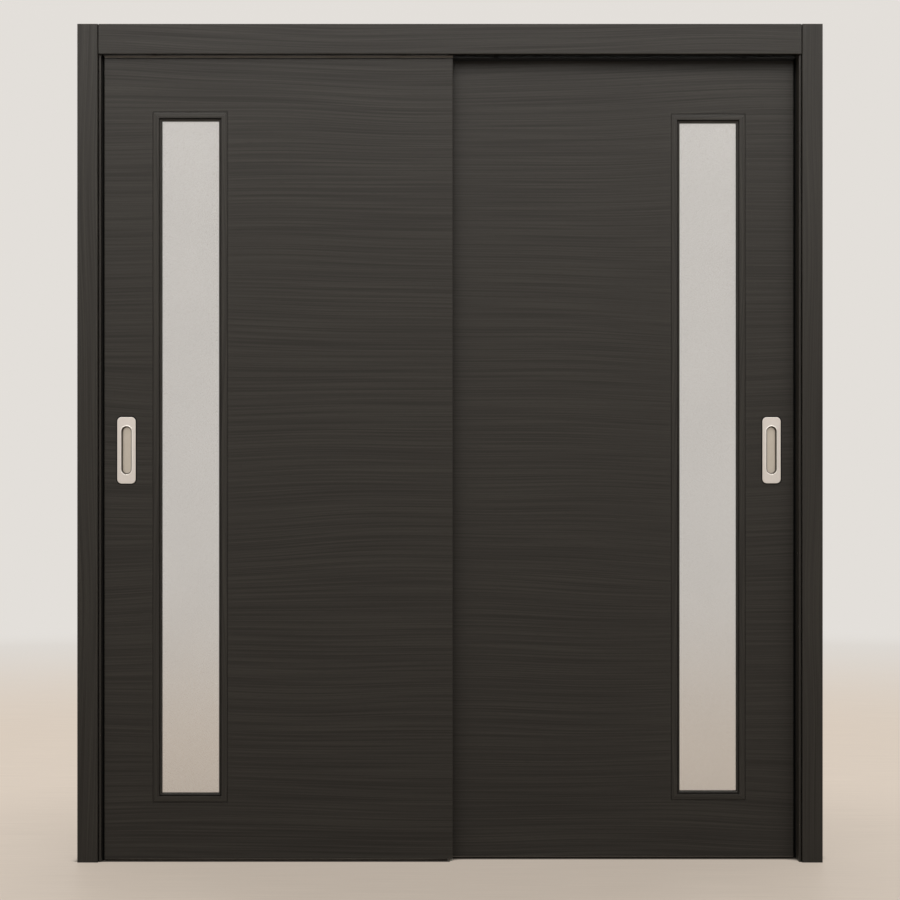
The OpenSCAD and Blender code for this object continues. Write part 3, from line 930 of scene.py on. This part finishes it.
@dataclass
class LiteBead(FacePiece):
    """A glazing bead of four mitred lengths, with a shadow groove and a seal on the glass."""

    kind: ClassVar[str] = "bead"
    joint_w: float = 1.2 * MM
    joint_d: float = 3 * MM
    face_w: float = 14 * MM
    step_d: float = 4 * MM
    quirk_w: float = 2.8 * MM
    quirk_d: float = 5 * MM
    slope_w: float = 6 * MM
    slope_d: float = 2 * MM
    glass_d: float = 14.5 * MM
    rebate_w: float = 11 * MM
    edge_r: float = 0.6 * MM
    seal_w: float = 0.9 * MM
    seal_h: float = 0.7 * MM
    seal_lift: float = 0.02 * MM
    seal_play: float = 0.05 * MM
    seal_corner_steps: int = 6
    mitre_gap: float = 0.1 * MM
    round_steps: int = 4
    crease_deg: float = 40.0

    def section(self, depth: float) -> list[Pair]:
        """Draws the bead's section.

        Args:
            depth: Depth of the bead from the leaf's face to the middle of the leaf.

        Returns:
            Points as a distance inwards from the bead's outer edge and a depth.
        """
        step = self.joint_w + self.face_w
        sight = step + self.slope_w
        rebate, quirk = sight - self.rebate_w, step + self.quirk_w
        quirk_foot = self.step_d + self.quirk_d
        slope_top = self.step_d + self.slope_d * self.quirk_w / self.slope_w
        corners = [
            (0.0, depth, 0.0), (0.0, self.joint_d, 0.0), (self.joint_w, self.joint_d, 0.0),
            (self.joint_w, 0.0, self.edge_r), (step, 0.0, self.edge_r), (step, quirk_foot, 0.0),
            (quirk, quirk_foot, 0.0), (quirk, slope_top, self.edge_r / 2),
            (sight, self.step_d + self.slope_d, self.edge_r), (sight, self.glass_d, 0.0),
            (rebate, self.glass_d, 0.0), (rebate, depth, 0.0),
        ]
        points: list[Pair] = []
        for i, (u, d, radius) in enumerate(corners):
            here = Vector((u, d))
            if not radius:
                points.append((u, d))
                continue
            before = Vector(corners[i - 1][:2]) - here
            after = Vector(corners[(i + 1) % len(corners)][:2]) - here
            start, end = here + before.normalized() * radius, here + after.normalized() * radius
            for step_i in range(self.round_steps + 1):
                t = step_i / self.round_steps
                point = start * (1 - t) ** 2 + here * 2 * t * (1 - t) + end * t ** 2
                points.append((point.x, point.y))
        return points

    def build(self) -> Piece:
        """Builds the four mitred lengths as one piece where its node is."""
        low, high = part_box(self.node)
        half = (high - low) / 2
        section = self.section(high.y - low.y)
        mesh = bmesh.new()
        for upright in (False, True):
            for side in (-1, 1):
                ends = []
                for end in (-1, 1):
                    points = []
                    for u, d in section:
                        x, z = half.x - u, half.z - u
                        if upright:
                            points.append((side * x, end * (z - self.mitre_gap), -d))
                        else:
                            points.append((end * (x - self.mitre_gap), side * z, -d))
                    ends.append(self.placed(points))
                skin(mesh, ends, [int(upright)])
        return finished(mesh, f"{self.node}_mitred", sharp_deg=self.crease_deg)

    def build_seal(self) -> Piece:
        """Builds the dark seal that closes the bead on the glass."""
        low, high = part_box(self.node)
        size = high - low
        sight = self.joint_w + self.face_w + self.slope_w + self.seal_play
        outline = RoundedOutline(
            size.x - 2 * sight, size.z - 2 * sight, 2 * self.seal_w, self.seal_corner_steps
        )
        foot = self.seal_lift - self.glass_d
        mesh = bmesh.new()
        rings = [
            self.placed(outline.ring(self.seal_w * inwards, foot + self.seal_h * rise))
            for inwards, rise in SEAL_SECTION
        ]
        skin(mesh, rings, loop=True)
        return finished(mesh, f"{self.node}_seal")

    def dress(self) -> None:
        """Builds the bead and its seal, finishes them and sets them on their leaf."""
        stand_in, looks = self.dresser.stand_in, self.finishes
        stand_in(self.build(), self.body, "dark_laminate", self.node, looks.head, looks.upright)
        stand_in(self.build_seal(), self.body, "black_rubber", None, looks.rubber)


@dataclass(frozen=True)
class CrossScrews:
    """A row of countersunk or round-headed screws with a cross recess."""

    name: str
    head_r: float
    head_h: float
    shank_r: float
    shank_l: float
    sunk: bool
    arm_share: float = 0.62
    arm_width_share: float = 0.17
    recess_share: float = 0.5
    recess_taper: float = 0.85
    tip_share: float = 0.5
    turns: int = 48

    def cross(self, angle: float) -> float:
        """Draws the cross recess.

        Args:
            angle: Angle round the screw.

        Returns:
            The reach of the recess at that angle, as a share of the head.
        """
        folded = abs((angle + math.pi / 4) % (math.pi / 2) - math.pi / 4)
        along = self.arm_share / math.cos(folded)
        if math.sin(folded) * along <= self.arm_width_share:
            return along
        return self.arm_width_share / math.sin(folded)

    def section(self) -> list[tuple[float, float, bool]]:
        """Draws the screw from its tip to the floor of its recess.

        Returns:
            Rings as a radius, a height over the seat and whether the ring is a cross.
        """
        head, tall, shank = self.head_r, self.head_h, self.shank_r
        profile, neck, top = (SUNK_HEAD, -tall, 0.0) if self.sunk else (ROUND_HEAD, 0.0, tall)
        rows = [
            (shank * self.tip_share, -self.shank_l, False), (shank, shank - self.shank_l, False),
            (shank, neck, False),
        ]
        rows += [(head * out, tall * rise, False) for out, rise in profile]
        floor = top - tall * self.recess_share
        return rows + [(head, top, True), (head * self.recess_taper, floor, True)]

    def build(self, seats: Iterable[tuple[Vector, Vector]]) -> Piece:
        """Builds a screw on each seat as one piece.

        Args:
            seats: The middle of each seat and the way that its head looks.

        Returns:
            The row of screws.
        """
        mesh = bmesh.new()
        for seat, out in seats:
            across = out.orthogonal().normalized()
            up = out.cross(across)
            rings = []
            for radius, height, is_cross in self.section():
                ring = []
                for turn in range(self.turns):
                    angle = 2 * math.pi * turn / self.turns
                    reach = radius * (self.cross(angle) if is_cross else 1.0)
                    spoke = across * math.cos(angle) + up * math.sin(angle)
                    ring.append(seat + out * height + spoke * reach)
                rings.append(ring)
            skin(mesh, rings)
        return finished(mesh, self.name)


@dataclass
class Finishes:
    """The finishes of the whole set."""

    top_z: float
    board_top_z: float
    jamb_back_x: float
    rail_top_z: float
    rail_face_y: float
    rail_cap: float = 5.3 * MM
    rail_lip: float = 2 * MM
    leaf: WoodLaminate = WoodLaminate("laminate_leaf", Axis.X)
    head: WoodLaminate = WoodLaminate("laminate_level", Axis.X)
    upright: WoodLaminate = WoodLaminate("laminate_upright", Axis.Z)
    nickel: BrushedMetal = BrushedMetal(
        "satin_nickel", Axis.Z, tone(222, 215, 209), tone(212, 205, 198), 0.34, line_depth=0.008 * MM
    )
    # A lighter copy of the satin nickel for the pull's rim: a painted highlight.
    rim_highlight: BrushedMetal = BrushedMetal(
        "polished_nickel", Axis.Z, tone(230, 225, 219), tone(222, 216, 210), 0.46, line_depth=0.004 * MM
    )
    # A dark finish for the pull's ring chamfer and recess walls: painted shade.
    shaded: Moulded = Moulded("dark_ring_lacquer", tone(98, 91, 83), tone(88, 82, 74), 0.6, gloss=0.15)
    # A darker copy of the satin nickel for the floor of the pull's recess: painted shade.
    cup_floor_shade: BrushedMetal = BrushedMetal(
        "brushed_cup_floor", Axis.Z, tone(200, 191, 179), tone(188, 179, 167), 0.34, line_depth=0.008 * MM
    )
    aluminium: BrushedMetal = BrushedMetal(
        "mill_aluminium", Axis.X, tone(205, 207, 210), tone(176, 179, 183), 0.38
    )
    track: BrushedMetal = BrushedMetal(
        "black_anodised_track", Axis.X, tone(34, 33, 32), tone(24, 23, 22), 0.48, line_stretch=200.0
    )
    zinc: PlatedSteel = PlatedSteel("zinc_plate")
    black_zinc: PlatedSteel = PlatedSteel("black_zinc_plate", tone(58, 58, 60), tone(42, 42, 44), 0.45)
    glass: FrostedGlass = FrostedGlass("frosted_glass")
    nylon: Moulded = Moulded("white_nylon", tone(226, 222, 212), tone(208, 203, 192), 0.42, 0.15)
    rubber: Moulded = Moulded("black_rubber", tone(17, 16, 14), tone(10, 9, 8), 0.7, gloss=0.12)

    @property
    def rail(self) -> RailWithPaintedLight:
        """The rail on top of a leaf, with painted light on its outer cap and painted shade on the rest.
        """
        foot_z, face_y = self.rail_top_z - self.rail_cap, self.rail_face_y - self.rail_lip
        return RailWithPaintedLight("coated_rail", foot_z, face_y)

    @property
    def casing(self) -> WoodLaminate:
        """The laminate of a jamb casing, sawn at its top."""
        return WoodLaminate("laminate_casing", Axis.Z, (CutFace(Axis.Z, self.top_z),))

    @property
    def jamb(self) -> WoodLaminate:
        """The laminate of a jamb, with a bare back and top."""
        backs = CutFace(Axis.X, self.jamb_back_x), CutFace(Axis.X, -self.jamb_back_x, -1)
        return WoodLaminate("laminate_jamb", Axis.Z, (*backs, CutFace(Axis.Z, self.top_z)))

    @property
    def head_board(self) -> WoodLaminate:
        """The laminate of the head board, bare on top."""
        return WoodLaminate("laminate_head_board", Axis.X, (CutFace(Axis.Z, self.board_top_z),))


@dataclass
class DoorFrame:
    """The jambs, head, casings, tracks, seals and floor guide."""

    dresser: Dresser
    finishes: Finishes
    board_edge: EasedEdges = EasedEdges(0.6 * MM)
    casing_edge: EasedEdges = EasedEdges(0.09 * MM)
    metal_edge: EasedEdges = EasedEdges(0.25 * MM)
    guide_screw_y: float = 9 * MM
    corner: CrossScrews = CrossScrews(
        "corner_screws_cross", sunk=True,
        head_r=4.2 * MM, head_h=3.2 * MM, shank_r=2.1 * MM, shank_l=70 * MM,
    )
    guide: CrossScrews = CrossScrews(
        "floor_guide_screws", sunk=False,
        head_r=3.4 * MM, head_h=1.6 * MM, shank_r=1.9 * MM, shank_l=2.5 * MM,
    )

    def dress(self) -> None:
        """Dresses every node of the frame and drives its screws."""
        node, looks = self.dresser.node, self.finishes
        for side in ("left", "right"):
            node(f"{side}_jamb", looks.jamb, self.board_edge)
            node(f"{side}_seal", looks.rubber)
            for plane in Plane:
                node(f"{plane.value}_{side}_casing", looks.casing, self.casing_edge)
        node("head_board", looks.head_board, self.board_edge)
        for plane in Plane:
            node(f"{plane.value}_head_casing", looks.head, self.casing_edge)
            node(f"{plane.value}_track", looks.track, self.metal_edge)
            node(f"{plane.value}_track_stops", looks.rubber, self.metal_edge)
        node("track_screws", looks.zinc)
        node("floor_guide", looks.nylon, self.metal_edge)
        self.drive_screws()

    def drive_screws(self) -> None:
        """Builds the corner screws and the floor guide's screws."""
        low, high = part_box("corner_screws")
        middle = (low + high) / 2
        spread = high.y - middle.y - self.corner.head_r
        corners = []
        for x in (low.x, high.x):
            out = Vector((math.copysign(1.0, x), 0, 0))
            corners += [(Vector((x, middle.y + row * spread, middle.z)), out) for row in (-1, 0, 1)]
        up = Vector((0, 0, 1))
        rows = (-self.guide_screw_y, self.guide_screw_y)
        foot = [(Vector((0, y, self.guide.shank_l)), up) for y in rows]
        for screws, seats, node in ((self.corner, corners, "corner_screws"), (self.guide, foot, None)):
            self.dresser.stand_in(screws.build(seats), "frame", "zinc_steel", node, self.finishes.zinc)


@dataclass
class DoorLeaf:
    """A leaf with its lite, pulls, top rail and running gear."""

    dresser: Dresser
    finishes: Finishes
    plane: Plane
    leaf_edge: EasedEdges = EasedEdges(0.09 * MM)
    metal_edge: EasedEdges = EasedEdges(0.25 * MM)
    rail_edge: EasedEdges = EasedEdges(0.6 * MM)
    wheel_pairs: int = 4

    def dress(self) -> None:
        """Dresses every node of the leaf and builds its beads and pulls."""
        node, looks, lead = self.dresser.node, self.finishes, self.plane.value
        node(f"{lead}_leaf", looks.leaf, self.leaf_edge)
        node(f"{lead}_glass", looks.glass)
        node(f"{lead}_top_rail", looks.rail, self.rail_edge)
        node(f"{lead}_guide_channel", looks.aluminium)
        for place in ("jamb", "middle"):
            node(f"{lead}_{place}_carriage", looks.zinc, self.metal_edge)
        node(f"{lead}_hanger_bolts", looks.black_zinc)
        for gear in ("hanger_blocks", "axles"):
            node(f"{lead}_{gear}", looks.zinc)
        for pair in range(1, self.wheel_pairs + 1):
            node(f"{lead}_wheels_{pair}", looks.nylon)
        for side in Side:
            for kind in (LiteBead, FlushPull):
                kind(self.dresser, looks, self.plane, side).dress()


@dataclass
class Studio:
    """The camera, the floor and the light."""

    casing_face_y: float
    eye_z: float = 1.030
    distance: float = 6.5
    lens_mm: float = 107.16
    shift_up: float = -12 / 900
    clip_end: float = 200.0
    floor_reach: float = 40.0
    floor_turns: int = 96
    floor_drop: float = 0.2 * MM
    floor_roughness: float = 0.45
    streaks: Noise = Noise((4.0, 160.0, 1.0), 3.0, 0.6)
    streak_shade: float = 0.93
    floor_tone: Colour = tone(226, 212, 197)
    backdrop: Colour = tone(227, 223, 218)
    floor_shade: float = 0.42
    paper_share: float = 0.52
    paper_share_far: float = 0.9
    floor_gloss: float = 0.3
    contact_samples: int = 16
    contact_reach: float = 60 * MM
    contact_span: Pair = (0.3, 0.52)
    # How far the floor's painted shadow darkens its base colour, and how much shade it paints in the
    # leaves' closed strips.
    contact_shade: float = 0.8
    leaf_y: float = 20 * MM
    bay_half: float = 28 * MM
    bay_painted_shadow: float = 0.35
    pale_reach: Pair = (0.5, 2.0)
    fade_reach: Pair = (3.0, 8.0)
    room_level: float = 0.21
    room_level_behind: float = 1.0
    behind_reach: Pair = (0.0, 0.4)
    sky_top: float = 1.3
    sky_reach: Pair = (0.15, 1.0)
    lamp_level: float = 88.0
    lamp_place: Triple = (0.0, -2.8, 3.3)
    lamp_aim: Triple = (0.0, 0.0, 1.65)
    lamp_size: Pair = (9.0, 1.5)
    lamp_spread_deg: float = 95.0

    def camera(self) -> None:
        """Sets up the level camera in front of the set."""
        data = bpy.data.cameras.new("camera")
        data.lens, data.shift_y = self.lens_mm, self.shift_up
        data.clip_end = self.clip_end
        camera = bpy.data.objects.new("camera", data)
        camera.location = (0.0, self.casing_face_y - self.distance, self.eye_z)
        camera.rotation_euler = (math.radians(90), 0.0, 0.0)
        bpy.context.scene.collection.objects.link(camera)
        bpy.context.scene.camera = camera

    def floor(self) -> None:
        """Lays a plain floor that fades into the backdrop."""
        mesh = bmesh.new()
        bmesh.ops.create_circle(mesh, cap_ends=True, radius=self.floor_reach, segments=self.floor_turns)
        piece = finished(mesh, "studio_floor")
        piece.location.z = -self.floor_drop
        sheet = ShaderSheet("studio_floor")
        worn = dimmed(self.floor_tone, self.streak_shade)
        colour = sheet.tint(sheet.grains(self.streaks), worn, self.floor_tone)
        sheet.level(Roughness=self.floor_roughness)
        self.fade(sheet, colour)
        piece.data.materials.append(sheet.material)
        piece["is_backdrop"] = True

    def open_floor(self, sheet: ShaderSheet) -> Socket:
        """Tells the open floor from the floor close under a piece or in the strips where the leaves stand
        when closed.

        Args:
            sheet: The floor's sheet.

        Returns:
            1 in the open and 0 in the contact shadow.
        """
        place = sheet.place()
        nearby = sheet.nodes.new("ShaderNodeAmbientOcclusion")
        nearby.samples = self.contact_samples
        nearby.inputs["Distance"].default_value = self.contact_reach
        # The strips where the leaves stand when closed count as shade whatever the pose: painted shadow.
        bay_y = sheet.sum("MULTIPLY", sheet.sum("SIGN", place[Axis.X]), self.leaf_y)
        aside = sheet.sum("ABSOLUTE", sheet.sum("SUBTRACT", place[Axis.Y], bay_y))
        bay = sheet.sum("LESS_THAN", aside, self.bay_half)
        sky = sheet.sum("SUBTRACT", nearby.outputs["AO"], sheet.sum("MULTIPLY", bay, self.bay_painted_shadow))
        return sheet.span(sky, *self.contact_span, 0.0, 1.0, soft=True)

    def fade(self, sheet: ShaderSheet, colour: Socket) -> None:
        """Shows part of the open floor as plain paper, and the floor far off as backdrop, with a painted
        shadow close under pieces and in the leaves' closed strips.

        Args:
            sheet: The floor's sheet.
            colour: The floor's colour near the set.
        """
        place = sheet.place()
        squares = [sheet.sum("POWER", sheet.sum("ABSOLUTE", place[a]), 2.0) for a in (Axis.X, Axis.Y)]
        ground = sheet.sum("POWER", sheet.sum("ADD", *squares), 0.5)
        far = sheet.span(ground, *self.fade_reach, 0.0, 1.0, soft=True)
        clear = self.open_floor(sheet)
        # Painted shadow: where the floor is not open its base colour darkens towards black, its gloss
        # drops and the paper goes.
        painted_shadow_dimming = sheet.span(clear, 0.0, 1.0, self.contact_shade, self.floor_shade)
        sheet.drive("Base Color", sheet.shade(painted_shadow_dimming, colour, BLACK))
        sheet.drive("Specular IOR Level", sheet.sum("MULTIPLY", clear, self.floor_gloss))
        share = sheet.span(ground, *self.pale_reach, self.paper_share, self.paper_share_far, soft=True)
        near = sheet.sum("MULTIPLY", clear, share)
        paper = sheet.nodes.new("ShaderNodeEmission")
        sheet.links.new(sheet.shade(far, colour, self.backdrop), paper.inputs["Color"])
        mix = sheet.nodes.new("ShaderNodeMixShader")
        shown = sheet.sum("MULTIPLY", sheet.sum("MAXIMUM", near, far), sheet.seen())
        for target, source in zip(mix.inputs, (shown, sheet.shader.outputs[0], paper.outputs[0])):
            sheet.links.new(source, target)
        sheet.links.new(mix.outputs[0], sheet.first("OUTPUT_MATERIAL").inputs["Surface"])

    def sky(self) -> None:
        """Surrounds the set with a pale room, brighter overhead and behind the set."""
        world = bpy.data.worlds.new("studio")
        bpy.context.scene.world = world
        world.use_nodes = True
        sheet = NodeSheet(world.node_tree)
        way = sheet.place("Generated")
        climb = sheet.span(way[Axis.Z], *self.sky_reach, 1.0, self.sky_top)
        depth = sheet.span(way[Axis.Y], *self.behind_reach, self.room_level, self.room_level_behind)
        level = sheet.sum("MAXIMUM", sheet.seen(), sheet.sum("MULTIPLY", climb, depth))
        room = sheet.first("BACKGROUND").inputs
        sheet.feed(room["Strength"], level)
        sheet.feed(room["Color"], (*self.backdrop, 1.0))

    def lamp(self) -> None:
        """Hangs a long soft box high in front of the set."""
        data = bpy.data.lights.new("front_soft_box", "AREA")
        data.shape, data.size, data.size_y = "RECTANGLE", *self.lamp_size
        data.energy, data.spread = self.lamp_level, math.radians(self.lamp_spread_deg)
        lamp = bpy.data.objects.new("front_soft_box", data)
        lamp.location = self.lamp_place
        beam = Vector(self.lamp_aim) - Vector(self.lamp_place)
        lamp.rotation_euler = beam.to_track_quat("-Z", "Y").to_euler()
        bpy.context.scene.collection.objects.link(lamp)

    def set_up(self) -> None:
        """Sets up the whole studio."""
        bpy.context.scene.view_settings.view_transform = "Standard"
        self.camera()
        self.floor()
        self.sky()
        self.lamp()


def main() -> None:
    """Loads the frame and dresses the door set round it."""
    logging.basicConfig(level=logging.INFO, format="%(message)s")
    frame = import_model()
    cad_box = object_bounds()
    finishes = Finishes(
        top_z=cad_box[1].z,
        board_top_z=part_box("head_board")[1].z,
        jamb_back_x=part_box("right_jamb")[1].x,
        rail_top_z=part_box("front_top_rail")[1].z,
        rail_face_y=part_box("rear_top_rail")[1].y,
    )
    dresser = Dresser(frame)
    DoorFrame(dresser, finishes).dress()
    for plane in Plane:
        DoorLeaf(dresser, finishes, plane).dress()
    Studio(casing_face_y=cad_box[0].y).set_up()


if __name__ == "__main__":
    main()
